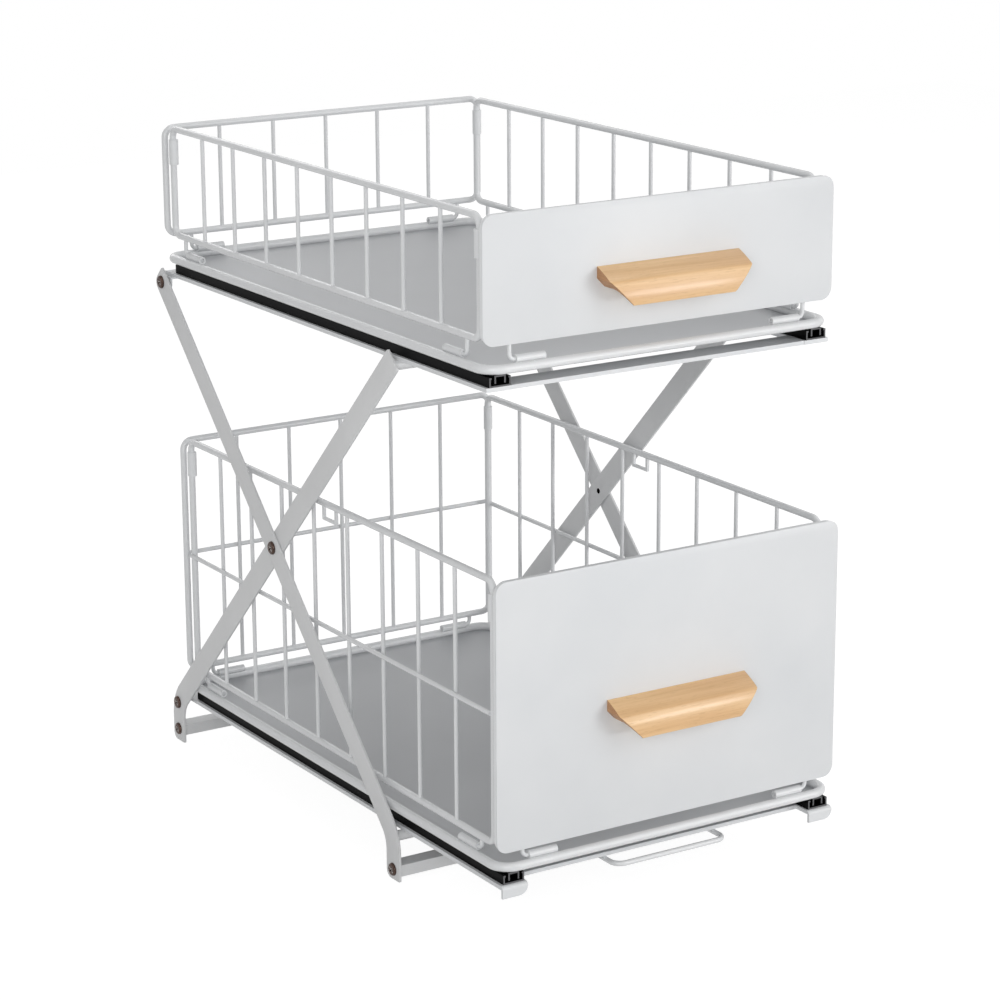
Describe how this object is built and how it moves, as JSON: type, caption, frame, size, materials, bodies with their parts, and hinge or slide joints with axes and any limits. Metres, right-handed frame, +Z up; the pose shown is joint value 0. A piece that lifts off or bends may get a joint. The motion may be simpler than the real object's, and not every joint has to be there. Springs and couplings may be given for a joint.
{
  "type": "pull out cabinet basket",
  "caption": "Two-tier pull-out wire basket for a cabinet: stacked drawers with panelled fronts, wing handles and fold-down wire sides ride ball slides on a folding X-leg stand.",
  "frame": {"origin": "bottom centre of the bounding box: the floor point midway between the sides and midway between the front-most and rear-most points", "axes": "+X to the right along the front panels, +Y from the front panels to the back, +Z up"},
  "size_m": [0.3142, 0.5316, 0.5219],
  "materials": {
    "white_coat": "satin",
    "leg_coat": "satin",
    "sheet_grey": "satin",
    "slide_black": "satin",
    "cage_zinc": "satin",
    "ball_steel": "polished",
    "handle_wood": "satin",
    "screw_bronze": "satin"
  },
  "bodies": {
    "base_frame": {"lower_left_rail": "white_coat", "lower_right_rail": "white_coat", "lower_front_tabs": "white_coat", "lower_front_bar": "white_coat", "lower_rear_bar": "white_coat", "pull_loop": "white_coat", "lower_left_channel": "slide_black", "lower_right_channel": "slide_black", "lower_pivot_screws": "screw_bronze"},
    "legs_inner": {"inner_left_leg": "leg_coat", "inner_right_leg": "leg_coat", "inner_cross_rod": "leg_coat", "crossing_screws": "screw_bronze", "rear_foot_bar": "leg_coat", "rear_foot_screws": "screw_bronze"},
    "legs_outer": {"outer_left_leg": "leg_coat", "outer_right_leg": "leg_coat", "outer_cross_rod": "leg_coat", "front_foot_bar": "leg_coat", "front_foot_screws": "screw_bronze"},
    "top_frame": {"upper_left_rail": "white_coat", "upper_right_rail": "white_coat", "upper_front_bar": "white_coat", "upper_rear_bar": "white_coat", "upper_left_channel": "slide_black", "upper_right_channel": "slide_black", "upper_pivot_screws": "screw_bronze", "spacer_washers": "cage_zinc"},
    "lower_retainers": {"lower_ball_cages": "cage_zinc", "lower_balls": "ball_steel"},
    "upper_retainers": {"upper_ball_cages": "cage_zinc", "upper_balls": "ball_steel"},
    "lower_drawer": {"lower_slide_members": "slide_black", "lower_tray_rim": "white_coat", "lower_tray_sheet": "sheet_grey", "lower_back_panel": "white_coat", "lower_front_frame": "white_coat", "lower_front_sheet": "white_coat", "lower_handle": "handle_wood", "lower_handle_screws": "screw_bronze"},
    "upper_drawer": {"upper_slide_members": "slide_black", "upper_tray_rim": "white_coat", "upper_tray_sheet": "sheet_grey", "upper_back_panel": "white_coat", "upper_front_frame": "white_coat", "upper_front_sheet": "white_coat", "upper_handle": "handle_wood", "upper_handle_screws": "screw_bronze"},
    "lower_side_left": {"lower_left_panel": "white_coat", "lower_left_sleeves": "white_coat"},
    "lower_side_right": {"lower_right_panel": "white_coat", "lower_right_sleeves": "white_coat"},
    "upper_side_left": {"upper_left_panel": "white_coat", "upper_left_sleeves": "white_coat"},
    "upper_side_right": {"upper_right_panel": "white_coat", "upper_right_sleeves": "white_coat"}
  },
  "joints": [
    {"name": "fold", "type": "hinge", "parent": "base_frame", "child": "legs_inner", "pos_m": [0, 0.2563, 0.034], "axis": [1, 0, 0], "range_deg": [0, 16]},
    {"name": "leg_crossing", "type": "hinge", "parent": "legs_inner", "child": "legs_outer", "pos_m": [0, 0.0753, 0.2143], "axis": [1, 0, 0], "range_deg": [-32, 0]},
    {"name": "top_pivot", "type": "hinge", "parent": "legs_outer", "child": "top_frame", "pos_m": [0, 0.2563, 0.3946], "axis": [1, 0, 0], "range_deg": [0, 16]},
    {"name": "lower_pull", "type": "slide", "parent": "base_frame", "child": "lower_drawer", "axis": [0, -1, 0], "range_m": [0, 0.3]},
    {"name": "lower_retainer_run", "type": "slide", "parent": "base_frame", "child": "lower_retainers", "axis": [0, -1, 0], "range_m": [0, 0.15]},
    {"name": "upper_pull", "type": "slide", "parent": "top_frame", "child": "upper_drawer", "axis": [0, -1, 0], "range_m": [0, 0.3]},
    {"name": "upper_retainer_run", "type": "slide", "parent": "top_frame", "child": "upper_retainers", "axis": [0, -1, 0], "range_m": [0, 0.15]},
    {"name": "lower_left_fold", "type": "hinge", "parent": "lower_drawer", "child": "lower_side_left", "pos_m": [-0.143, 0.0027, 0.0585], "axis": [0, 1, 0], "range_deg": [0, 90]},
    {"name": "lower_right_fold", "type": "hinge", "parent": "lower_drawer", "child": "lower_side_right", "pos_m": [0.143, 0.0027, 0.0585], "axis": [0, -1, 0], "range_deg": [0, 86]},
    {"name": "upper_left_fold", "type": "hinge", "parent": "upper_drawer", "child": "upper_side_left", "pos_m": [-0.143, 0.0177, 0.4191], "axis": [0, 1, 0], "range_deg": [0, 90]},
    {"name": "upper_right_fold", "type": "hinge", "parent": "upper_drawer", "child": "upper_side_right", "pos_m": [0.143, 0.0177, 0.4191], "axis": [0, -1, 0], "range_deg": [0, 90]}
  ],
  "couplings": [
    {"joint": "leg_crossing", "follows": "fold", "ratio": -2},
    {"joint": "top_pivot", "follows": "fold", "ratio": 1},
    {"joint": "lower_retainer_run", "follows": "lower_pull", "ratio": 0.5},
    {"joint": "upper_retainer_run", "follows": "upper_pull", "ratio": 0.5}
  ]
}
